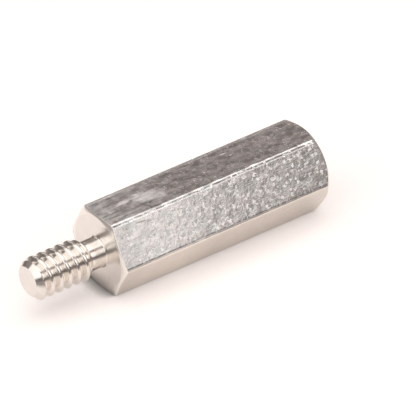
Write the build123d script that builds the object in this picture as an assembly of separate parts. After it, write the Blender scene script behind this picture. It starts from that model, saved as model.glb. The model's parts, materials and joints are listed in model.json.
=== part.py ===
from build123d import *
import os
from math import radians, sqrt, tan

# A male-female hex standoff, turned in one piece from hexagonal bar.
# It lies on one flat, with its axis along X and its stud towards -X. Lengths are in millimetres.

# Bar stock, with the rounded long edges of drawn bar.
across_flats = 6.35
bar_edge_radius = 0.3

# Body between the shoulder and the far end face. The lathe chamfers both ends, each from a
# circle on the end face that lies a little inside the flats, at an angle taken from the face.
body_length = 19.05
shoulder_circle_inset = 0.2
shoulder_chamfer_angle = 15
end_circle_inset = 0.17
end_chamfer_angle = 42

# Screw thread, the same on the stud and in the hole, so that one standoff screws into the next.
thread_diameter = 3.505
thread_pitch = 0.794

# Stud, drawn as the cylinder over the crests of its thread, with a relief neck at the shoulder.
stud_length = 6.35
crest_allowance = 0.145
tip_chamfer_length = 0.48
tip_chamfer_angle = 45
neck_length = 1.3
neck_depth = 0.48
neck_root_radius = 0.12
runout_angle = 45

# Tapped hole, drilled from the far end at the tapping size and countersunk past the thread.
bore_depth = 11.0
drill_point_angle = 118
mouth_clearance = 0.12
mouth_angle = 90

# How far the bar and the drill run past the faces that they cross.
overrun = 1.0

crest_radius = (thread_diameter - crest_allowance) / 2
neck_radius = crest_radius - neck_depth
bore_radius = (thread_diameter - thread_pitch) / 2


def hex_bar():
    hexagon = RegularPolygon(across_flats / 2, 6, major_radius=False)
    section = fillet(hexagon.vertices(), bar_edge_radius)
    start = Plane.YZ.offset(-stud_length - overrun)
    return extrude(start * section, stud_length + body_length + 2 * overrun)


def turned_blank():
    tip_radius = crest_radius - tip_chamfer_length * tan(radians(tip_chamfer_angle))
    runout_length = neck_depth / tan(radians(runout_angle))
    # outside the bar's corners, so that only the chamfers trim them
    clear_radius = across_flats / sqrt(3) + overrun
    shoulder_radius = across_flats / 2 - shoulder_circle_inset
    shoulder_setback = (clear_radius - shoulder_radius) * tan(radians(shoulder_chamfer_angle))
    end_radius = across_flats / 2 - end_circle_inset
    end_setback = (clear_radius - end_radius) * tan(radians(end_chamfer_angle))
    # place along the axis, radius, and the rounding of the corner there
    corners = [
        (-stud_length, 0, 0),
        (-stud_length, tip_radius, 0),
        (tip_chamfer_length - stud_length, crest_radius, 0),
        (-neck_length - runout_length, crest_radius, 0),
        (-neck_length, neck_radius, neck_root_radius),
        (0, neck_radius, neck_root_radius),
        (0, shoulder_radius, 0),
        (shoulder_setback, clear_radius, 0),
        (body_length - end_setback, clear_radius, 0),
        (body_length, end_radius, 0),
        (body_length, 0, 0),
    ]
    points = [(along, radius) for along, radius, rounding in corners]
    roundings = [rounding for along, radius, rounding in corners]
    outline = FilletPolyline(points, radius=roundings, close=True)
    return revolve(make_face(outline), Axis.X)


def tapped_hole():
    point_length = bore_radius / tan(radians(drill_point_angle / 2))
    mouth_slope = tan(radians(mouth_angle / 2))
    mouth_radius = thread_diameter / 2 + mouth_clearance
    mouth_depth = (mouth_radius - bore_radius) / mouth_slope
    outline = Polyline(
        (body_length - bore_depth - point_length, 0),
        (body_length - bore_depth, bore_radius),
        (body_length - mouth_depth, bore_radius),
        (body_length + overrun, mouth_radius + overrun * mouth_slope),
        (body_length + overrun, 0),
        close=True,
    )
    return revolve(make_face(outline), Axis.X)


# The blank trims the bar to the turned outline, and the hole is cut from the far end.
hex_standoff = (hex_bar() & turned_blank()) - tapped_hole()

# The origin is under the middle of the part, on the surface that it lies on.
hex_standoff = Pos((stud_length - body_length) / 2, 0, across_flats / 2) * hex_standoff
hex_standoff.label = "hex_standoff"

os.makedirs("parts", exist_ok=True)
export_step(hex_standoff, "parts/hex_standoff.step")
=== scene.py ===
import json
import random
from math import atan2, ceil, cos, hypot, pi, radians, sin, sqrt, tan

import bmesh
import bpy
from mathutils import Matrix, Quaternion, Vector


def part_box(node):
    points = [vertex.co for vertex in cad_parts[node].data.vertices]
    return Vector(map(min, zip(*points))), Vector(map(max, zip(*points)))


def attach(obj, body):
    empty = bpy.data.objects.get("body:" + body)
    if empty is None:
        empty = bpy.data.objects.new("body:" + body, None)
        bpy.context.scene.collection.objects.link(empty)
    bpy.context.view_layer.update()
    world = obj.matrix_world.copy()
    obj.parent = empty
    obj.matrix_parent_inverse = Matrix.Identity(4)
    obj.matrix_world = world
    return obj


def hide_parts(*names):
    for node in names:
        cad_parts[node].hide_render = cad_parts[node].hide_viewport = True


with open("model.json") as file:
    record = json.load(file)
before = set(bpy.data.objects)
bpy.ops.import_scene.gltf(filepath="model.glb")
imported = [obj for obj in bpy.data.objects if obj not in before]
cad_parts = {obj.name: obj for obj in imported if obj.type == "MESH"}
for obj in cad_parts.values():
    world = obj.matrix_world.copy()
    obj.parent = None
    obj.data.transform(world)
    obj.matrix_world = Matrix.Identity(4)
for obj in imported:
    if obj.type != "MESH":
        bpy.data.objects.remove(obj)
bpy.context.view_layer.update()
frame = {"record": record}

# places that the frame gives, in metres
barLow, barHigh = (Vector(corner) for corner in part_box("hex_standoff"))
mounts = {mount["name"]: mount for mount in frame["record"]["mounts"]}
crestRadius = mounts["stud"]["dims"]["r_mm"] / 1000
boreRadius = mounts["tapped_hole"]["dims"]["r_mm"] / 1000
tipX = barLow.x
endX = barHigh.x
acrossFlats = barHigh.z - barLow.z
axisZ = (barLow.z + barHigh.z) / 2
flatWidth = acrossFlats / sqrt(3)
endFacing = 0.9  # normals this far along the axis belong to end faces
print("frame loaded, across flats", round(acrossFlats * 1000, 3), "mm")


def polar(co):
    return hypot(co.y, co.z - axisZ), atan2(co.z - axisZ, co.y)


def place(x, radius, angle):
    return Vector((x, radius * cos(angle), axisZ + radius * sin(angle)))


def deselectAll():
    if bpy.context.object and bpy.context.object.mode != "OBJECT":
        bpy.ops.object.mode_set(mode="OBJECT")
    bpy.ops.object.select_all(action="DESELECT")


def openForEdit(piece):
    deselectAll()
    piece.select_set(True)
    bpy.context.view_layer.objects.active = piece
    bpy.ops.object.mode_set(mode="EDIT")


def closeEdit():
    bpy.ops.object.mode_set(mode="OBJECT")


def pick(piece, kind, test):
    bpy.ops.mesh.select_mode(type=kind)
    bpy.ops.mesh.select_all(action="DESELECT")
    mesh = bmesh.from_edit_mesh(piece.data)
    for part in {"VERT": mesh.verts, "EDGE": mesh.edges, "FACE": mesh.faces}[kind]:
        if test(part):
            part.select_set(True)
    bmesh.update_edit_mesh(piece.data)


def middleX(edge):
    return (edge.verts[0].co.x + edge.verts[1].co.x) / 2


def moveSelected(piece, where):  # where(radius, angle, x) gives the new place
    mesh = bmesh.from_edit_mesh(piece.data)
    for vert in mesh.verts:
        if vert.select:
            radius, angle = polar(vert.co)
            vert.co = where(radius, angle, vert.co.x)
    bmesh.update_edit_mesh(piece.data)


def extrudeRing(piece, x, ringRadius):
    bpy.ops.mesh.extrude_edges_move(TRANSFORM_OT_translate={"value": (0, 0, 0)})
    moveSelected(piece, lambda radius, angle, oldX: place(x, ringRadius, angle))


def tidyMesh(piece, mergeDistance):
    openForEdit(piece)
    bpy.ops.mesh.select_all(action="SELECT")
    bpy.ops.mesh.remove_doubles(threshold=mergeDistance)
    bpy.ops.mesh.normals_make_consistent(inside=False)
    closeEdit()


# hexagonal bar, from the shoulder to the far end
bar = {
    "length": 0.01905,
    "edgeReach": 0.0003,  # how far from a sharp corner the flats start to bend
    "edgeShape": 0.7,  # 0.5 is a round edge, more is a tighter corner
    "edgeSteps": 10,
    "cutsAcross": 23,
    "cutsAlong": 87,  # in each half
    "shoulderInset": 0.0002,  # circle on the face, inside the flats
    "shoulderAngle": radians(15),
    "endInset": 0.00017,
    "endAngle": radians(42),
    "creaseBevel": 0.00003,
    "creaseSteps": 2,
    "creaseAngle": radians(8),  # edges sharper than this are creases
    "creaseLean": 0.8,  # unless they run along the bar more than this
    "creaseReach": 0.4,  # or lie nearer to the axis, in widths across flats
    "turnedTilt": 0.2,  # faces turned this far to the ends are chamfers
    "shoulderBand": 0.0004,  # if they lie this near to an end
    "endBand": 0.0008,
    "smoothAngle": radians(32),
    "shoulderBridge": 0.0017,  # rings that the stud and the hole are joined at
    "endBridge": 0.0021,
}
shoulderX = endX - bar["length"]
cornerReach = acrossFlats / sqrt(3) - bar["edgeReach"] * (1 - sqrt(bar["edgeShape"]))  # axis to a long edge


def runsAlong(edge):
    return abs(edge.verts[0].co.x - edge.verts[1].co.x) > bar["length"] / 2


def isCrease(edge):
    if edge.is_boundary or polar(edge.verts[0].co)[0] < acrossFlats * bar["creaseReach"]:
        return False
    lean = abs(edge.verts[0].co.x - edge.verts[1].co.x) / edge.calc_length()
    return lean < bar["creaseLean"] and edge.calc_face_angle(0) > bar["creaseAngle"]


def trimEnds(piece):  # slides the rows so that the end rows lie on the chamfer cones
    shoulderCircle = acrossFlats / 2 - bar["shoulderInset"]
    endCircle = acrossFlats / 2 - bar["endInset"]

    def slide(radius, angle, x):
        first = shoulderX + (radius - shoulderCircle) * tan(bar["shoulderAngle"])
        last = endX - (radius - endCircle) * tan(bar["endAngle"])
        share = (x - shoulderX) / bar["length"]
        return place(first + share * (last - first), radius, angle)

    bpy.ops.mesh.select_all(action="SELECT")
    moveSelected(piece, slide)
    middle = (shoulderX + endX) / 2
    pick(piece, "EDGE", lambda edge: edge.is_boundary and middleX(edge) < middle)
    extrudeRing(piece, shoulderX, shoulderCircle)
    extrudeRing(piece, shoulderX, bar["shoulderBridge"])
    pick(piece, "EDGE", lambda edge: edge.is_boundary and middleX(edge) > middle)
    extrudeRing(piece, endX, endCircle)
    extrudeRing(piece, endX, bar["endBridge"])


def makeBar():
    deselectAll()
    bpy.ops.mesh.primitive_cylinder_add(
        vertices=6, radius=acrossFlats / sqrt(3), depth=bar["length"],
        location=((shoulderX + endX) / 2, 0, axisZ), rotation=(0, pi / 2, 0))
    piece = bpy.context.object
    piece.name = "standoffBar"
    bpy.ops.object.transform_apply(location=True, rotation=True, scale=True)
    openForEdit(piece)
    pick(piece, "EDGE", runsAlong)
    bpy.ops.mesh.bevel(
        offset=bar["edgeReach"], segments=bar["edgeSteps"], profile=bar["edgeShape"], affect="EDGES")
    pick(piece, "FACE", lambda face: abs(face.normal.x) > endFacing)
    bpy.ops.mesh.delete(type="ONLY_FACE")
    pick(piece, "EDGE", lambda edge: not runsAlong(edge) and edge.calc_length() > flatWidth / 2)
    bpy.ops.mesh.subdivide(number_cuts=bar["cutsAcross"])
    pick(piece, "EDGE", runsAlong)
    bpy.ops.mesh.subdivide(number_cuts=1)
    pick(piece, "EDGE", lambda edge: abs(edge.verts[0].co.x - edge.verts[1].co.x) > bar["length"] / 3)
    bpy.ops.mesh.subdivide(number_cuts=bar["cutsAlong"])
    trimEnds(piece)
    pick(piece, "EDGE", isCrease)
    bpy.ops.mesh.bevel(
        offset=bar["creaseBevel"], segments=bar["creaseSteps"], profile=0.5, affect="EDGES")
    closeEdit()
    print("bar", len(piece.data.polygons), "faces")
    return piece


# screw threads, cut right-handed
thread = {
    "pitch": 0.000794,
    "majorRadius": 0.0017525,
    "flankAngle": radians(30),
    "steps": 96,  # points round a turn
    "flankCuts": 2,
    "roundingSteps": 5,
    "studPhase": -0.00016,  # where along a pitch the stud's crests lie
    "mergeDistance": 0.000001,
}

# threaded stud with its relief neck
stud = {
    "threadDepth": 0.00045,
    "crestFlat": 0.0002,
    "crestRounding": 0.000095,
    "rootRounding": 0.000015,
    "tipChamfer": 0.00048,  # at 45 degrees
    "tipBevel": 0.00004,
    "neckLength": 0.0013,
    "neckDepth": 0.00048,
    "neckFillet": 0.00012,
    "filletSteps": 6,
    "faceSupport": 0.00008,
}


def drawProfile(name, start, points):  # a chain of edges in the plane of the axis, extruded point by point
    deselectAll()
    bpy.ops.mesh.primitive_plane_add(size=thread["pitch"], location=(0, 0, axisZ))
    piece = bpy.context.object
    piece.name = name
    openForEdit(piece)
    bpy.ops.mesh.select_mode(type="VERT")
    bpy.ops.mesh.select_all(action="SELECT")
    bpy.ops.mesh.merge(type="CENTER")
    bpy.ops.transform.translate(value=(start[0], 0, start[1]))
    last = start
    for point in points:
        step = (point[0] - last[0], 0, point[1] - last[1])
        bpy.ops.mesh.extrude_vertices_move(TRANSFORM_OT_translate={"value": step})
        last = point
    closeEdit()
    return piece


def windThread(piece, turns):
    bpy.ops.object.modifier_add(type="SCREW")
    screw = piece.modifiers[-1]
    screw.axis = "X"
    screw.angle = 2 * pi
    screw.screw_offset = thread["pitch"]
    screw.iterations = turns
    screw.steps = thread["steps"]
    screw.render_steps = thread["steps"]
    screw.use_merge_vertices = True
    screw.merge_threshold = thread["mergeDistance"]
    bpy.ops.object.modifier_apply(modifier=screw.name)
    bpy.ops.object.transform_apply(location=True, rotation=True, scale=True)


def fitThread(piece, where):  # moves every point of a wound thread inside its turned outline
    for vert in piece.data.vertices:
        radius, angle = polar(vert.co)
        vert.co = where(radius, angle, vert.co.x)


def threadPoints(startX, rootRadius, topRadius, topFlat):  # one pitch, from the middle of a root
    flank = abs(topRadius - rootRadius) * tan(thread["flankAngle"])
    rootFlat = thread["pitch"] - topFlat - 2 * flank
    steps = [rootFlat / 2, flank, topFlat, flank, rootFlat / 2]
    radii = [rootRadius, topRadius, topRadius, rootRadius, rootRadius]
    points = []
    x = startX
    for step, radius in zip(steps, radii):
        x += step
        points.append((x, radius))
    return points


def roundProfile(piece, rootRadius, topRadius, rootRounding, topRounding):
    def near(vert, radius):
        joined = len(vert.link_edges) == 2
        return joined and abs(vert.co.z - radius) < thread["mergeDistance"]  # still centred on the axis

    openForEdit(piece)
    pick(piece, "EDGE", lambda edge: abs(edge.verts[0].co.z - edge.verts[1].co.z) > thread["mergeDistance"])
    bpy.ops.mesh.subdivide(number_cuts=thread["flankCuts"])
    for radius, rounding in ((topRadius, topRounding), (rootRadius, rootRounding)):
        pick(piece, "VERT", lambda vert: near(vert, radius))
        bpy.ops.mesh.bevel(
            offset=rounding, segments=thread["roundingSteps"], profile=0.5, affect="VERTICES")
    closeEdit()


def makeStud():
    pitch = thread["pitch"]
    neckRadius = crestRadius - stud["neckDepth"]
    neckX = shoulderX - stud["neckLength"]
    joinX = shoulderX - stud["neckLength"] / 2
    startX = tipX - 2 * pitch + thread["studPhase"]
    tipRadius = crestRadius - stud["tipChamfer"]
    rootRadius = crestRadius - stud["threadDepth"]
    points = threadPoints(startX, rootRadius, crestRadius, stud["crestFlat"])
    piece = drawProfile("standoffStud", (startX, rootRadius), points)
    roundProfile(piece, rootRadius, crestRadius, stud["rootRounding"], stud["crestRounding"])
    windThread(piece, ceil((joinX - startX) / pitch) + 1)

    def trim(radius, angle, x):
        x = min(max(x, tipX), joinX)
        chamfer = tipRadius + (x - tipX)
        runout = neckRadius + max(0, neckX - x)
        return place(x, min(radius, chamfer, runout), angle)

    fitThread(piece, trim)
    tidyMesh(piece, thread["mergeDistance"])
    openForEdit(piece)
    pick(piece, "EDGE", lambda edge: edge.is_boundary and middleX(edge) < neckX)
    extrudeRing(piece, tipX, tipRadius - stud["tipBevel"])
    bpy.ops.mesh.edge_face_add()
    pick(piece, "EDGE", lambda edge: edge.is_boundary)
    fillet = stud["neckFillet"]
    for step in range(stud["filletSteps"] + 1):
        turn = pi / 2 * step / stud["filletSteps"]
        ringX = shoulderX - fillet * (1 - sin(turn))
        extrudeRing(piece, ringX, neckRadius + fillet * (1 - cos(turn)))
    extrudeRing(piece, shoulderX, neckRadius + fillet + stud["faceSupport"])
    closeEdit()
    tidyMesh(piece, thread["mergeDistance"])
    print("stud", len(piece.data.polygons), "faces")
    return piece


# tapped hole in the far end
hole = {
    "crestFlat": 0.0002,
    "crestRounding": 0.00002,
    "rootRounding": 0.00004,
    "threadDepth": 0.0095,
    "leadSlope": 0.25,  # the tap's lead, where the thread fades out
    "boreDepth": 0.011,
    "pointAngle": radians(118),
    "mouthClearance": 0.00012,
    "faceSupport": 0.00008,
}


def makeHole():
    pitch = thread["pitch"]
    mouthRadius = thread["majorRadius"] + hole["mouthClearance"]
    coneX = endX - (mouthRadius - boreRadius)  # countersink at 45 degrees
    deepX = endX - hole["threadDepth"]
    startX = deepX - 2 * pitch
    major = thread["majorRadius"]
    points = threadPoints(startX, boreRadius, major, hole["crestFlat"])
    piece = drawProfile("standoffHole", (startX, boreRadius), points)
    roundProfile(piece, boreRadius, major, hole["crestRounding"], hole["rootRounding"])
    windThread(piece, ceil((endX - startX) / pitch) + 1)

    def trim(radius, angle, x):
        x = min(max(x, deepX), endX)
        lead = boreRadius + (x - deepX) * hole["leadSlope"]
        mouth = boreRadius + max(0, x - coneX)
        return place(x, max(min(radius, lead), mouth), angle)

    fitThread(piece, trim)
    tidyMesh(piece, thread["mergeDistance"])
    openForEdit(piece)
    pick(piece, "EDGE", lambda edge: edge.is_boundary and middleX(edge) > coneX)
    extrudeRing(piece, endX, mouthRadius + hole["faceSupport"])
    pick(piece, "EDGE", lambda edge: edge.is_boundary and middleX(edge) < coneX)
    boreX = endX - hole["boreDepth"]
    extrudeRing(piece, boreX, boreRadius)
    pointX = boreX - boreRadius / tan(hole["pointAngle"] / 2)
    extrudeRing(piece, pointX, thread["mergeDistance"])
    bpy.ops.mesh.merge(type="CENTER")
    closeEdit()
    print("hole", len(piece.data.polygons), "faces")
    return piece


# dents and nicks of the plated bar, in metres along from the shoulder and across from a flat's middle
wear = {
    "seed": 7,
    "dentsPerFlat": 26,
    "dentAlong": (0.0006, bar["length"] - 0.001),
    "dentAcross": 0.46,  # to both sides, in flat widths
    "dentSize": (0.00018, 0.0005),
    "dentStretch": (1, 2.5),
    "dentDepth": (0.006, 0.03),  # in dent sizes
    "dentTurn": 0.9,
    "flatReach": 0.48,  # only what lies this far out, in widths across flats, is dented
    "nicksPerEdge": 26,
    "nickAlong": (0.0004, bar["length"] - 0.0008),
    "nickLength": (0.0001, 0.0005),
    "nickDepth": (0.000003, 0.000008),
    "knockedEdge": 2,  # the upper front edge has the most knocks
    "knockDepth": (0.000003, 0.000025),
}
largeDents = (
    {"index": 1, "along": 0.0045, "across": 0.0, "length": 0.0016, "width": 0.0007, "depth": 0.00001},
)
largeNicks = (
    {"index": 2, "along": 0.013, "length": 0.00022, "depth": 0.00006},
    {"index": 3, "along": 0.007, "length": 0.0002, "depth": 0.00004},
)


def flatTurn(index):  # direction that a flat faces, round the axis
    return pi / 6 + index * pi / 3


def dentFlat(piece, index, along, across, length, width, depth, turn=0):
    facing = flatTurn(index)
    for vert in piece.data.vertices:
        across2 = (vert.co.z - axisZ) * cos(facing) - vert.co.y * sin(facing) - across
        along2 = vert.co.x - shoulderX - along
        if abs(along2) > length and abs(along2) > width:
            continue
        u = (along2 * cos(turn) + across2 * sin(turn)) / length
        v = (across2 * cos(turn) - along2 * sin(turn)) / width
        reach = u * u + v * v
        height = vert.co.y * cos(facing) + (vert.co.z - axisZ) * sin(facing)
        if reach < 1 and height > acrossFlats * wear["flatReach"]:
            sink = depth * (1 - reach) ** 2
            vert.co.y -= sink * cos(facing)
            vert.co.z -= sink * sin(facing)


def nickEdge(piece, index, along, length, depth):
    corner = index * pi / 3
    for vert in piece.data.vertices:
        along2 = (vert.co.x - shoulderX - along) / length
        if abs(along2) > 1:
            continue
        height = vert.co.y * cos(corner) + (vert.co.z - axisZ) * sin(corner)
        cut = cornerReach - depth * (1 - along2 * along2)
        if height > cut:
            vert.co.y -= (height - cut) * cos(corner)
            vert.co.z -= (height - cut) * sin(corner)


def wearBar(piece):
    draw = random.Random(wear["seed"])
    for dent in largeDents:
        dentFlat(piece, **dent)
    for nick in largeNicks:
        nickEdge(piece, **nick)
    for index in range(6):
        for count in range(wear["dentsPerFlat"]):
            along = draw.uniform(*wear["dentAlong"])
            across = draw.uniform(-wear["dentAcross"], wear["dentAcross"]) * flatWidth
            size = draw.uniform(*wear["dentSize"])
            stretch = draw.uniform(*wear["dentStretch"])
            depth = size * draw.uniform(*wear["dentDepth"])
            turn = draw.uniform(-wear["dentTurn"], wear["dentTurn"])
            dentFlat(piece, index, along, across, size * stretch, size, depth, turn)
        depths = wear["knockDepth"] if index == wear["knockedEdge"] else wear["nickDepth"]
        for count in range(wear["nicksPerEdge"]):
            along = draw.uniform(*wear["nickAlong"])
            length = draw.uniform(*wear["nickLength"])
            nickEdge(piece, index, along, length, draw.uniform(*depths))
    print("bar worn")


# ragged specks and fine marks in the plate
speck = {
    "jitterScale": 4.0,
    "jitterReach": (0.45, 0.45, 0.0),
    "sharpness": 0.8,
    "tilts": (-0.4, 1.0),  # most of the bottoms are turned up
    "lineSharpness": 0.4,
    "choice": 0.02,  # softness of the choice between cells with and without a mark
}


class NodeBoard:  # a node tree that is wired from left to right
    def __init__(self, tree):
        self.tree = tree

    def add(self, kind, settings=None, **sockets):
        node = self.tree.nodes.new("ShaderNode" + kind)
        for name, value in (settings or {}).items():
            setattr(node, name, value)
        for name, value in sockets.items():
            self.feed(node, name, value)
        return node

    def feed(self, node, name, value):
        socket = node.inputs[int(name[1:])] if name[0] == "_" else node.inputs[name]
        if isinstance(value, bpy.types.NodeSocket):
            self.tree.links.new(value, socket)
        else:
            socket.default_value = value

    def math(self, operation, first, second=0.0):
        return self.add("Math", {"operation": operation}, _0=first, _1=second).outputs[0]

    def ramp(self, value, low, high, start=0.0, end=1.0):
        node = self.add("MapRange", {"clamp": True}, Value=value)
        self.feed(node, "From Min", low)
        self.feed(node, "From Max", high)
        self.feed(node, "To Min", start)
        self.feed(node, "To Max", end)
        return node.outputs[0]

    def product(self, first, *others):
        for other in others:
            first = self.math("MULTIPLY", first, other)
        return first

    def blend(self, share, first, second):  # of plain values
        return self.add("Mix", _0=share, _2=first, _3=second).outputs[0]

    def fade(self, mask, least):  # 1 outside a mask, less inside it
        return self.ramp(mask, 0.0, 1.0, 1.0, least)

    def mix(self, share, first, second):  # of colours
        node = self.add("Mix", {"data_type": "RGBA"})
        self.feed(node, "_0", share)
        self.feed(node, "_6", first)
        self.feed(node, "_7", second)
        return node.outputs[2]

    def noise(self, vector, scale, detail=2.0, roughness=0.5, dimensions="3D"):
        node = self.add("TexNoise", {"noise_dimensions": dimensions}, Vector=vector)
        self.feed(node, "Scale", scale)
        self.feed(node, "Detail", detail)
        self.feed(node, "Roughness", roughness)
        return node.outputs[0]

    def stretch(self, vector, scale, turn=0.0):
        node = self.add("Mapping", Vector=vector, Scale=scale)
        node.inputs["Rotation"].default_value[2] = turn
        return node.outputs[0]

    def near(self, value, centre, outer, inner=0.0):  # 1 close to a value, 0 away from it
        return self.ramp(self.math("ABSOLUTE", self.math("SUBTRACT", value, centre)), outer, inner)

    def total(self, *terms):  # values and their weights, added up
        result = 0.0
        for value, weight in terms:
            result = self.math("ADD", result, self.product(value, weight))
        return result

    def marks(self, vector, scale, size, rarity):  # one small mark in some of the cells
        cells = self.add("TexVoronoi", {"voronoi_dimensions": "2D"}, Vector=vector, Scale=scale)
        shape = self.ramp(cells.outputs["Distance"], size, size * speck["lineSharpness"])
        return self.product(shape, self.ramp(cells.outputs["Color"], rarity, rarity + speck["choice"]))

    def jitter(self, vector):
        noise = self.add("TexNoise", {"noise_dimensions": "2D"}, Vector=vector, Scale=speck["jitterScale"])
        shift = self.add("VectorMath", {"operation": "SUBTRACT"}, _0=noise.outputs[1], _1=(0.5, 0.5, 0.5))
        bent = self.add("VectorMath", {"operation": "MULTIPLY_ADD"}, _0=shift.outputs[0])
        self.feed(bent, "_1", speck["jitterReach"])
        self.feed(bent, "_2", vector)
        return bent.outputs[0]

    def facets(self, vector, scale, size, rarity):  # ragged marks and their tilted bottoms
        bent = self.jitter(vector)
        cells = self.add("TexVoronoi", {"voronoi_dimensions": "2D"}, Vector=bent, Scale=scale)
        shape = self.ramp(cells.outputs["Distance"], size, size * speck["sharpness"])
        red, green = self.add("SeparateColor", _0=cells.outputs["Color"]).outputs[:2]
        shape = self.product(shape, self.ramp(red, rarity, rarity + speck["choice"]))
        offset = self.add("VectorMath", {"operation": "SUBTRACT"}, _0=vector, _1=cells.outputs["Position"])
        rise = self.add("SeparateXYZ", _0=offset.outputs[0]).outputs[1]
        tilt = self.product(rise, self.ramp(green, 0.0, 1.0, *speck["tilts"]))
        return shape, self.product(tilt, shape)


class Finish(NodeBoard):  # a material and its shader
    def __init__(self, name):
        self.material = bpy.data.materials.new(name)
        self.material.use_nodes = True
        super().__init__(self.material.node_tree)
        self.shader = self.tree.nodes["Principled BSDF"]

    def metal(self, tint, rough):
        self.feed(self.shader, "Base Color", tint)
        self.feed(self.shader, "Roughness", rough)
        self.shader.inputs["Metallic"].default_value = 1.0

    def bump(self, height):
        node = self.add("Bump", Height=height, Distance=1.0, Strength=1.0)
        self.feed(self.shader, "Normal", node.outputs[0])

    def millimetres(self):
        coordinates = self.add("TexCoord").outputs["Object"]
        return self.add("VectorMath", {"operation": "SCALE"}, _0=coordinates, _3=1000.0).outputs[0]


def rgba(tint):
    return (*tint, 1.0)


# scuffs that show on single flats: flat, places along and across, half sizes, in millimetres, and turn
scuffs = (
    (1, 4.55, 0.2, 1.3, 0.6, 0.32),
    (1, 3.9, -0.5, 0.5, 0.12, 0.3),
    (1, 2.6, -0.2, 0.6, 0.2, 0.1),
)
stains = (
    (1, 3.2, -0.18, 0.3, 0.1, -0.95),
    (1, 3.7, 0.93, 0.6, 0.1, 1.05),
    (1, 6.5, 0.1, 0.3, 0.3, 0.4),
    (2, 2.6, -1.3, 0.5, 0.06, 0.1),
    (2, 1.1, -1.25, 0.22, 0.08, 0.4),
    (2, 13.1, -1.5, 0.3, 0.12, 0.2),
)
scratches = (
    (1, 12.1, -0.85, 0.3, 0.07, 0.0),
    (1, 12.5, -0.4, 0.12, 0.06, 0.0),
    (2, 5.95, -1.0, 0.14, 0.1, 0.4),
    (2, 7.9, -0.15, 0.12, 0.1, 0.0),
    (2, 9.7, 1.5, 0.14, 0.09, 0.5),
    (2, 12.6, 0.3, 0.3, 0.05, 0.8),
    (2, 14.2, -0.4, 0.22, 0.14, 0.3),
    (2, 14.3, 1.1, 0.3, 0.05, 0.8),
    (2, 17.4, -0.5, 0.12, 0.1, 0.0),
    (2, 18.3, 0.6, 0.2, 0.1, 1.2),
)


# worn plate on the flats, on a map in millimetres along the bar and round it
flatMillimetres = flatWidth * 1000
flatPlate = {
    "tint": (0.765, 0.725, 0.71),
    "dullTint": (0.695, 0.7, 0.685),
    # pale tint of the specks, scratches and scuffs: real marks, whose paleness is partly a painted
    # highlight for their glints
    "markAndGlintTint": (0.93, 0.915, 0.89),
    "stainTint": (0.5, 0.465, 0.43),
    # the lower flat's warm tint is a painted reflection of the shaded floor beneath it
    "paintedFloorReflectionTint": (0.765, 0.705, 0.635),
    "paintedFloorReflectionShare": 0.7,
    "dullRange": (0.38, 0.62),
    "brightest": 1.28,  # keeps every tint below white
    "roughness": (0.16, 0.23),
    "edgeRoughness": 0.16,
}
flatStrips = {  # line in flats round the bar, shift from it, reach, and reach at full strength
    "frontEdge": (1.5, 0.16, 0.16, 0.1),
    "backStrip": (0.5, 0.0, 0.45, 0.15),
    "calmStrip": (2.5, 0.0, 0.24, 0.12),
    # painted shade lines along the front edges: at the foot of the front flat, a painted reflection of the
    # dark horizon; beside the upper front edge, painted shade in the fine groove; on that edge itself,
    # painted shade
    "paintedFootShade": (2.5, -0.05, 0.08, 0.04),
    "paintedGrooveShade": (1.5, 0.09, 0.07, 0.02),
    "paintedRimShade": (1.5, 0.0, 0.1, 0.06),
}
flatEdges = {
    "upperFront": 1.5,  # lines of the front edges, in flats round the bar
    "lowerFront": 2.5,
    "wholeFlat": (0.5, 0.49),  # reach of a flat from its middle, in flats
    "longEdge": (0.16, 0.08),  # smooth strips beside the long edges
    "groove": 0.13,  # bottom of a fine groove beside the upper front edge
    "grooveSides": (0.07, 0.1),
    "rollOff": (0.13, 0.04),  # towards the lower front edge
}
flatNoise = {  # scale, detail and roughness
    "broad": (1.1, 4.0, 0.6),
    "blots": (2.6, 3.0, 0.6),
    "grain": (4.6, 2.0, 0.55),
    "clusters": (0.6, 2.0, 0.5),
    "breaks": (1.7, 3.0, 0.6),
    "streaks": (1.0, 3.0, 0.65),
    "film": (1.0, 2.5, 0.5),
}
flatStretch = {  # along, across and turn
    "streaks": (0.35, 7.0, 0.0),
    "film": (1.0, 2.1, 0.05),
    "slanted": (1.3, 8.0, 0.8),
    "level": (1.1, 9.0, -0.3),
}
flatMarks = {  # scale, size and rarity
    "coarse": (1.6, 0.24, 0.25),
    "fine": (2.6, 0.27, 0.5),
    "slanted": (1.0, 0.24, 0.72),
    "level": (1.0, 0.2, 0.65),
}
flatWear = {  # pairs and fours are ramps: from, to, and the values there
    "alongBar": (3.0, 7.5, 0.55, 1.0),
    "onLowerFlat": 0.2,
    "onCalmStrip": 0.15,
    "inClusters": (0.36, 0.6, 0.25, 1.35),
    "upperTilts": 0.5,
    "upperPits": 0.4,
    "upperLines": 0.3,
    "ragged": (0.25, 0.75, -0.35, 0.35),
    "scratchBlur": 0.25,
    "scuffBlur": 0.3,
    "scuffFilm": (0.32, 0.52, 0.5, 1.0),
    "stainBlur": 0.35,
    "stainBlots": (0.45, 0.3),
    "stainShare": 0.5,
    "dustAlong": (8.0, 1.0),
    "dustStreaks": (0.35, 0.65, 0.35, 1.0),
    "breaks": (0.35, 0.55, 0.5, 1.0),
}
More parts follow.
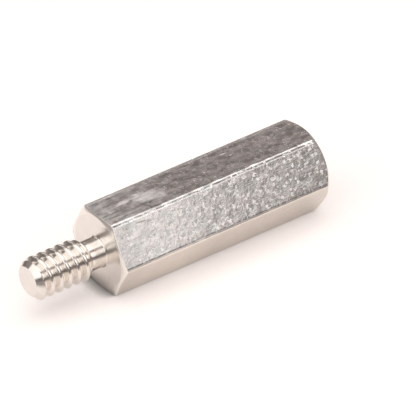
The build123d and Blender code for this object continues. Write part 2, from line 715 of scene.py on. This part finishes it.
flatTone = {
    "film": (0.33, 0.67, -0.33, 0.33),
    "filmShare": 0.25,
    "upperFilm": 0.75,  # more on the upper flat, which is the most tarnished
    "lowerFilm": -0.2,
    # painted light: the lower flat is brighter towards its far end, against the shadow that it mirrors
    # there
    "paintedLightOnLowerFlat": (3.0, 10.0, 0.04, 0.2),
    # painted light on all flats but the upper one: brighter in the first third along the bar and darker
    # towards both ends, as their reflections brighten and fade
    "middle": (5.5, 9.0, 1.1, 0.9),
    "nearEnd": (0.5, 2.5, 0.87, 1.0),
    "farEnd": (14.0, 18.0, 1.0, 0.94),
    "upperFlat": 1.06,
    "paleStrip": (4.0, 9.0, 0.1, 0.7),
    # how much the painted shade lines darken the plate
    "paintedGrooveShade": 0.6,
    "paintedFootShade": 0.5,
    "paintedRimShade": 0.22,
}
flatRough = {"streaks": (0.3, 0.7), "dusty": 0.26, "backStrip": 0.16, "scuff": 0.25, "specks": 0.22}
flatRelief = {  # in metres, the tilts for each millimetre across a speck
    "grain": 0.0000012,
    "streaks": 0.0000015,
    "broad": 0.00003,
    "blots": 0.000005,
    "tilts": 0.00026,
    "specks": 0.000004,
    "cuts": 0.000006,
    "groove": 0.000013,
    "rollOff": 0.000008,
}


class FlatFinish(Finish):
    def __init__(self):
        super().__init__("plateOnFlats")
        self.wrap = self.add("UVMap", {"uv_map": "barWrap"}).outputs[0]
        self.along, self.across = self.add("SeparateXYZ", _0=self.wrap).outputs[:2]
        self.placeStrips()
        self.addPatterns()
        self.addSpecks()
        self.addScuffs()
        self.metal(self.flatTint(), self.flatRoughness())
        self.bump(self.flatHeight())

    def strip(self, name):
        line, shift, reach, full = flatStrips[name]
        return self.near(self.across, line * flatMillimetres + shift, reach, full)

    def wholeFlat(self, index):
        reach, full = (share * flatMillimetres for share in flatEdges["wholeFlat"])
        return self.near(self.across, index * flatMillimetres, reach, full)

    def stretched(self, name):
        along, across, turn = flatStretch[name]
        return self.stretch(self.wrap, (along, across, 1.0), turn)

    def pattern(self, name):
        vector = self.stretched(name) if name in flatStretch else self.wrap
        return self.noise(vector, *flatNoise[name], "2D")

    def placeStrips(self):
        half = flatMillimetres / 2
        edge = self.near(self.math("PINGPONG", self.across, half), half, *flatEdges["longEdge"])
        self.edge = self.math("MAXIMUM", edge, self.strip("frontEdge"))
        self.top = self.wholeFlat(1)
        self.low = self.wholeFlat(3)
        self.backStrip = self.strip("backStrip")
        self.worn = self.product(
            self.ramp(self.along, *flatWear["alongBar"]),
            self.fade(self.low, flatWear["onLowerFlat"]),
            self.fade(self.strip("calmStrip"), flatWear["onCalmStrip"]))

    def addPatterns(self):
        self.broad = self.pattern("broad")
        self.blots = self.pattern("blots")
        self.grain = self.pattern("grain")
        self.streaks = self.pattern("streaks")
        self.film = self.pattern("film")
        self.broken = self.ramp(self.pattern("breaks"), *flatWear["breaks"])

    def addSpecks(self):
        pits, tilts = self.facets(self.wrap, *flatMarks["coarse"])
        finePits, fineTilts = self.facets(self.wrap, *flatMarks["fine"])
        clusters = self.ramp(self.pattern("clusters"), *flatWear["inClusters"])
        tilts = self.math("ADD", tilts, fineTilts)
        self.tilts = self.product(tilts, self.worn, clusters, self.fade(self.top, flatWear["upperTilts"]))
        pits = self.math("MAXIMUM", pits, finePits)
        pits = self.product(pits, self.fade(self.top, flatWear["upperPits"]))
        slanted = self.marks(self.stretched("slanted"), *flatMarks["slanted"])
        level = self.marks(self.stretched("level"), *flatMarks["level"])
        lines = self.math("MAXIMUM", slanted, level)
        lines = self.product(lines, self.fade(self.top, flatWear["upperLines"]))
        self.cuts = self.ellipses(scratches, 0.0, flatWear["scratchBlur"])
        specks = self.product(self.math("MAXIMUM", pits, lines), self.worn)
        self.specks = self.math("MAXIMUM", specks, self.cuts)

    def ellipse(self, mark, ragged, blur):  # at one place of the wrap
        index, along, across, length, width, turn = mark
        placed = self.add("Mapping", {"vector_type": "TEXTURE"}, Vector=self.wrap)
        placed.inputs["Location"].default_value = (along, index * flatMillimetres + across, 0.0)
        placed.inputs["Rotation"].default_value[2] = turn
        placed.inputs["Scale"].default_value = (length, width, 1.0)
        reach = self.add("VectorMath", {"operation": "LENGTH"}, _0=placed.outputs[0]).outputs["Value"]
        return self.ramp(self.math("ADD", reach, ragged), 1.0 + blur, 1.0 - blur)

    def ellipses(self, marks, ragged, blur):
        mask = 0.0
        for mark in marks:
            mask = self.math("MAXIMUM", mask, self.ellipse(mark, ragged, blur))
        return mask

    def addScuffs(self):
        ragged = self.ramp(self.blots, *flatWear["ragged"])
        scuff = self.ellipses(scuffs, ragged, flatWear["scuffBlur"])
        self.scuff = self.product(scuff, self.ramp(self.film, *flatWear["scuffFilm"]))
        blots = self.ramp(self.blots, *flatWear["stainBlots"])
        blots = self.product(blots, self.worn, flatWear["stainShare"])
        self.stain = self.math("MAXIMUM", self.ellipses(stains, ragged, flatWear["stainBlur"]), blots)
        dusty = self.product(self.top, self.ramp(self.along, *flatWear["dustAlong"]))
        self.dusty = self.product(dusty, self.ramp(self.streaks, *flatWear["dustStreaks"]))

    def tone(self):  # how bright the plate is, with painted light along the flats and painted shade lines at the front edges
        share = self.total(
            (self.top, flatTone["upperFilm"]),
            (self.low, flatTone["lowerFilm"]),
            (1.0, flatTone["filmShare"]))
        film = self.product(share, self.ramp(self.film, *flatTone["film"]))
        # painted light on the lower flat, brighter towards its far end
        paintedLowerLight = self.product(self.low, self.ramp(self.along, *flatTone["paintedLightOnLowerFlat"]))
        # painted light along the bar on all flats but the upper one, which has one level
        ramps = [self.ramp(self.along, *flatTone[name]) for name in ("middle", "nearEnd", "farEnd")]
        length = self.blend(self.top, self.product(*ramps), flatTone["upperFlat"])
        pale = self.product(self.backStrip, self.top, self.ramp(self.along, *flatTone["paleStrip"]))
        # painted shade lines along the front edges
        paintedGrooveShade = self.product(self.strip("paintedGrooveShade"), self.broken)
        paintedShadeLines = self.total(
            (paintedGrooveShade, flatTone["paintedGrooveShade"]),
            (self.strip("paintedFootShade"), flatTone["paintedFootShade"]),
            (self.strip("paintedRimShade"), flatTone["paintedRimShade"]))
        amount = self.total((length, 1.0), (film, 1.0), (paintedLowerLight, 1.0), (pale, 1.0))
        return self.math("MINIMUM", self.math("SUBTRACT", amount, paintedShadeLines), flatPlate["brightest"])

    def flatTint(self):
        dull = self.ramp(self.broad, *flatPlate["dullRange"])
        tint = self.mix(dull, rgba(flatPlate["dullTint"]), rgba(flatPlate["tint"]))
        # the lower flat takes a warm tint: a painted reflection of the shaded floor
        tint = self.mix(self.product(self.low, flatPlate["paintedFloorReflectionShare"]), tint, rgba(flatPlate["paintedFloorReflectionTint"]))
        tint = self.add("VectorMath", {"operation": "SCALE"}, _0=tint, _3=self.tone()).outputs[0]
        tint = self.mix(self.stain, tint, rgba(flatPlate["stainTint"]))
        # specks and scuffs turn pale: real marks, partly a painted highlight
        return self.mix(self.math("MAXIMUM", self.specks, self.scuff), tint, rgba(flatPlate["markAndGlintTint"]))

    def flatRoughness(self):
        rough = self.ramp(self.streaks, *flatRough["streaks"], *flatPlate["roughness"])
        added = self.total(
            (self.dusty, flatRough["dusty"]), (self.backStrip, flatRough["backStrip"]),
            (self.scuff, flatRough["scuff"]), (self.specks, flatRough["specks"]))
        return self.blend(self.edge, self.math("ADD", rough, added), flatPlate["edgeRoughness"])

    def flatHeight(self):
        bottom = flatEdges["upperFront"] * flatMillimetres + flatEdges["groove"]
        before, after = flatEdges["grooveSides"]
        fall = self.ramp(self.across, bottom - before, bottom)
        rise = self.ramp(self.across, bottom + after, bottom)
        groove = self.product(self.math("MINIMUM", fall, rise), self.broken)
        edgeLine = flatEdges["lowerFront"] * flatMillimetres
        start, end = flatEdges["rollOff"]
        rollOff = self.ramp(self.across, edgeLine - start, edgeLine - end)
        uneven = self.total(
            (self.grain, flatRelief["grain"]), (self.streaks, flatRelief["streaks"]),
            (self.broad, flatRelief["broad"]), (self.blots, flatRelief["blots"]))
        height = self.total((uneven, self.worn), (self.tilts, flatRelief["tilts"]))
        sunk = self.total(
            (self.specks, flatRelief["specks"]), (self.cuts, flatRelief["cuts"]),
            (groove, flatRelief["groove"]), (rollOff, flatRelief["rollOff"]))
        return self.math("SUBTRACT", height, sunk)


# plate on the turned faces, with the lathe's fine rings
turnedPlate = {
    "tint": (0.89, 0.855, 0.815),
    "dullTint": (0.82, 0.785, 0.745),
    "rimTint": (0.95, 0.915, 0.87),  # paler on the chamfers
    "rimRadius": (2.96, 3.0),
    "cloudScale": 1.3,
    "cloudDetail": 3.0,
    "ringScale": 9.0,
    "ringDetail": 3.0,
    "ringHeight": 0.0000025,
    "roughness": (0.2, 0.26),
}
cloudRange = (0.3, 0.7)  # of the noise, from dull to bright


def makeTurnedFinish():
    finish = Finish("plateOnTurnedFaces")
    point = finish.millimetres()
    across, up = finish.add("SeparateXYZ", _0=point).outputs[1:]
    rise = finish.math("SUBTRACT", up, axisZ * 1000)
    squares = finish.total((across, across), (rise, rise))
    radius = finish.math("SQRT", squares)
    rings = finish.add("TexNoise", {"noise_dimensions": "1D"}, W=radius, Scale=turnedPlate["ringScale"])
    finish.feed(rings, "Detail", turnedPlate["ringDetail"])
    clouds = finish.noise(point, turnedPlate["cloudScale"], turnedPlate["cloudDetail"])
    shine = finish.ramp(clouds, *cloudRange)
    tint = finish.mix(shine, rgba(turnedPlate["dullTint"]), rgba(turnedPlate["tint"]))
    tint = finish.mix(finish.ramp(radius, *turnedPlate["rimRadius"]), tint, rgba(turnedPlate["rimTint"]))
    finish.metal(tint, finish.ramp(clouds, *cloudRange, *turnedPlate["roughness"]))
    finish.bump(finish.product(rings.outputs[0], turnedPlate["ringHeight"]))
    return finish.material


# plate on the threads
threadPlate = {
    "tint": (0.865, 0.825, 0.775),
    "dullTint": (0.79, 0.75, 0.7),
    "cloudScale": 2.2,
    "cloudDetail": 3.0,
    "fineScale": 9.0,
    "fineHeight": 0.000003,
    "roughness": (0.11, 0.17),
}


def makeThreadFinish():
    finish = Finish("plateOnThread")
    point = finish.millimetres()
    clouds = finish.noise(point, threadPlate["cloudScale"], threadPlate["cloudDetail"])
    fine = finish.noise(point, threadPlate["fineScale"])
    shine = finish.ramp(clouds, *cloudRange)
    tint = finish.mix(shine, rgba(threadPlate["dullTint"]), rgba(threadPlate["tint"]))
    finish.metal(tint, finish.ramp(clouds, *cloudRange, *threadPlate["roughness"]))
    finish.bump(finish.product(fine, threadPlate["fineHeight"]))
    return finish.material


def wrapBar(piece):  # a map in millimetres: along the bar, and round it flat by flat
    wrap = piece.data.uv_layers.new(name="barWrap")
    for face in piece.data.polygons:
        index = round((polar(face.center)[1] - flatTurn(0)) / (pi / 3)) % 6
        facing = flatTurn(index)
        for loop in face.loop_indices:
            co = piece.data.vertices[piece.data.loops[loop].vertex_index].co
            across = (co.z - axisZ) * cos(facing) - co.y * sin(facing)
            wrap.data[loop].uv = ((co.x - shoulderX) * 1000, (index * flatWidth + across) * 1000)


def finishBar(piece, materials):
    for material in materials:
        piece.data.materials.append(material)
    for face in piece.data.polygons:
        atShoulder = face.center.x < shoulderX + bar["shoulderBand"]
        atEnd = face.center.x > endX - bar["endBand"]
        turned = abs(face.normal.x) > bar["turnedTilt"] and (atShoulder or atEnd)
        face.material_index = 1 if turned else 0


def makeStandoff():
    flatFinish = FlatFinish().material
    turnedFinish = makeTurnedFinish()
    threadFinish = makeThreadFinish()
    piece = makeBar()
    wearBar(piece)
    finishBar(piece, (flatFinish, turnedFinish))
    parts = [makeStud(), makeHole()]
    for part in parts:
        part.data.materials.append(threadFinish)
        part.data.materials.append(turnedFinish)
        for face in part.data.polygons:
            atTip = face.normal.x < -endFacing and face.center.x < tipX + stud["tipBevel"]
            face.material_index = 1 if atTip else 0
    deselectAll()
    for part in parts:
        part.select_set(True)
    piece.select_set(True)
    bpy.context.view_layer.objects.active = piece
    bpy.ops.object.join()
    openForEdit(piece)
    for x in (shoulderX, endX):
        pick(piece, "EDGE", lambda edge: edge.is_boundary and abs(middleX(edge) - x) < bar["creaseBevel"])
        bpy.ops.mesh.bridge_edge_loops()
        mesh = bmesh.from_edit_mesh(piece.data)
        for face in mesh.faces:
            if face.select:
                face.material_index = 1
        bmesh.update_edit_mesh(piece.data)
    closeEdit()
    tidyMesh(piece, thread["mergeDistance"])
    wrapBar(piece)
    deselectAll()
    piece.select_set(True)
    bpy.context.view_layer.objects.active = piece
    bpy.ops.object.shade_smooth_by_angle(angle=bar["smoothAngle"])
    piece.name = "hexStandoff"
    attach(piece, "root")
    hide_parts("hex_standoff")
    triangles = sum(len(face.vertices) - 2 for face in piece.data.polygons)
    openEdges = sum(1 for count in edgeUse(piece) if count != 2)
    print("standoff", triangles, "triangles,", openEdges, "open edges")
    return piece


def edgeUse(piece):
    uses = {}
    for face in piece.data.polygons:
        for key in face.edge_keys:
            uses[key] = uses.get(key, 0) + 1
    return uses.values()


makeStandoff()

# pale floor; seen in the metal it is painted darker outside an oval behind the bar, a painted shade for
# dark surroundings
studio = {
    "floorSize": 4.0,
    "floorDrop": 0.00001,
    "floorTint": (0.95, 0.89, 0.86),
    "floorRoughness": 0.9,
    "floorGlow": 0.24,  # the pale background's own share, seen by the camera
    "sheetGlow": 0.13,  # the same in the metal
    "contactReach": 0.0013,  # how far the floor darkens on the side away from the lamps
    "contactFacing": (0.52, -0.84, 0.15),
    "contactShade": (0.5, 0.92, 0.15, 1.0),
    "contactSamples": 8,
    "sheetStretch": 0.72,  # the oval's length along the bar, in widths
    "sheetMiddle": 0.008,  # behind the bar
    "sheetEdge": (0.026, 0.035),  # where the floor, seen in the metal, fades to its painted shade
    # painted shade of the floor beyond the oval, seen only in the metal
    "paintedShadeBeyondSheet": 0.32,
}

# sky round the studio, by direction: pairs are ramps from nothing to full
sky = {
    "front": (0.47, 0.425, 0.41),
    "back": (0.3, 0.262, 0.252),
    "backY": (-0.1, 0.45),
    "low": (0.2, 0.18, 0.175),  # above the horizon
    "highZ": (0.2, 0.29),
    "left": (1.15, 1.1, 1.04),  # at the horizon to the left
    "leftX": (-0.84, -0.9),
    "leftY": (-0.3, -0.1),
    "leftZ": (0.24, 0.17),
    "window": (1.2, 1.15, 1.1),  # behind the stud, light on the left sides of its crests
    "windowX": (-0.1, 0.2, 0.12),  # middle, reach, and reach at full strength
    "windowY": (0.5, 0.65),
    "windowZ": (0.2, 0.3),
}

# lamps: place of the middle, the point that it faces, size and brightness
lampTint = (1.0, 1.0, 1.0)
lamps = {
    "topLamp": {
        "middle": (0.12, 0.03, 0.5), "faces": (0.12, 0.03, 0.0), "size": (0.9, 0.5), "glow": 1.05},
    "frontLamp": {
        "middle": (0.05, -0.5, 0.41), "faces": (0.05, 0.0, 0.41), "size": (1.0, 0.3), "glow": 0.92},
    "frontCard": {
        "middle": (-0.003, -0.1, 0.044), "faces": (-0.003, 0.0, 0.01), "size": (0.12, 0.024), "glow": 0.62},
    "leftLamp": {
        "middle": (-0.445, 0.04, 0.31), "faces": (0.0, 0.04, 0.0), "size": (0.62, 0.44), "glow": 0.9},
}


def makeFloor():
    deselectAll()
    bpy.ops.mesh.primitive_plane_add(size=studio["floorSize"], location=(0, 0, -studio["floorDrop"]))
    floor = bpy.context.object
    floor.name = "floor"
    finish = Finish("paleFloor")
    shader = finish.shader
    contact = finish.add("AmbientOcclusion", {"samples": studio["contactSamples"]})
    finish.feed(contact, "Distance", studio["contactReach"])
    facing = finish.add("CombineXYZ")
    for socket, value in zip(facing.inputs, studio["contactFacing"]):
        socket.default_value = value
    finish.feed(contact, "Normal", facing.outputs[0])
    shade = finish.ramp(contact.outputs["AO"], *studio["contactShade"])
    path = finish.add("LightPath")
    spot = finish.add("Mapping", Vector=finish.add("TexCoord").outputs["Object"])
    spot.inputs["Location"].default_value[1] = -studio["sheetMiddle"]
    spot.inputs["Scale"].default_value[0] = 1 / studio["sheetStretch"]
    away = finish.add("VectorMath", {"operation": "LENGTH"}, _0=spot.outputs[0]).outputs["Value"]
    # seen in the metal, the floor is painted darker beyond the oval: painted shade
    paintedSheetShade = finish.ramp(away, *studio["sheetEdge"], 1.0, studio["paintedShadeBeyondSheet"])
    shade = finish.product(shade, finish.blend(path.outputs["Is Glossy Ray"], 1.0, paintedSheetShade))
    tint = finish.mix(shade, rgba((0, 0, 0)), rgba(studio["floorTint"]))
    finish.feed(shader, "Base Color", tint)
    shader.inputs["Roughness"].default_value = studio["floorRoughness"]
    shader.inputs["Specular IOR Level"].default_value = 0.0
    mirrored = finish.math("MAXIMUM", path.outputs["Is Glossy Ray"], path.outputs["Is Transmission Ray"])
    seen = path.outputs["Is Camera Ray"]
    glow = finish.total((seen, studio["floorGlow"]), (mirrored, studio["sheetGlow"]))
    shader.inputs["Emission Color"].default_value = (1.0, 1.0, 1.0, 1.0)
    finish.feed(shader, "Emission Strength", finish.product(glow, shade))
    floor.data.materials.append(finish.material)


def makeSky():
    world = bpy.data.worlds.new("studioSky")
    bpy.context.scene.world = world
    world.use_nodes = True
    board = NodeBoard(world.node_tree)
    x, y, z = board.add("SeparateXYZ", _0=board.add("TexCoord").outputs["Generated"]).outputs
    high = board.mix(board.ramp(y, *sky["backY"]), rgba(sky["front"]), rgba(sky["back"]))
    tint = board.mix(board.ramp(z, *sky["highZ"]), rgba(sky["low"]), high)
    left = board.product(
        board.ramp(x, *sky["leftX"]), board.ramp(y, *sky["leftY"]), board.ramp(z, *sky["leftZ"]))
    tint = board.mix(left, tint, rgba(sky["left"]))
    window = board.product(
        board.near(x, *sky["windowX"]), board.ramp(y, *sky["windowY"]), board.ramp(z, *sky["windowZ"]))
    tint = board.mix(window, tint, rgba(sky["window"]))
    background = board.tree.nodes["Background"]
    board.feed(background, "Color", tint)


def makeLamp(name, lamp):
    middle = Vector(lamp["middle"])
    bpy.ops.object.light_add(type="AREA", location=middle)
    light = bpy.context.object
    light.name = name
    light.rotation_euler = (Vector(lamp["faces"]) - middle).to_track_quat("-Z", "Y").to_euler()
    light.data.shape = "RECTANGLE"
    light.data.size, light.data.size_y = lamp["size"]
    light.data.color = lampTint
    light.data.energy = lamp["glow"] * pi * lamp["size"][0] * lamp["size"][1]
    light.visible_camera = False


makeFloor()
makeSky()
for lampName, lampSettings in lamps.items():
    makeLamp(lampName, lampSettings)
print("floor and light made")

# camera, set to the picture's viewing angle
shot = {
    "azimuth": radians(-33.86),
    "elevation": radians(34.49),
    "roll": radians(-2.45),
    "lookAt": (0.001435, -0.003241, 0.005571),
    "frameWidth": 0.03088,
    "distance": 0.75,
    "sensor": 36.0,
    "nearest": 0.01,  # what the camera can see, by distance
    "farthest": 10.0,
}


def makeCamera():
    level = cos(shot["elevation"])
    back = Vector((sin(shot["azimuth"]) * level, -cos(shot["azimuth"]) * level, sin(shot["elevation"])))
    bpy.ops.object.camera_add(location=Vector(shot["lookAt"]) + back * shot["distance"])
    camera = bpy.context.object
    aim = (-back).to_track_quat("-Z", "Y") @ Quaternion((0, 0, 1), shot["roll"])
    camera.rotation_euler = aim.to_euler()
    camera.data.sensor_width = shot["sensor"]
    camera.data.lens = shot["sensor"] * shot["distance"] / shot["frameWidth"]
    camera.data.clip_start = shot["nearest"]
    camera.data.clip_end = shot["farthest"]
    bpy.context.scene.camera = camera


makeCamera()
bpy.context.scene.view_settings.view_transform = "Standard"
print("camera set")
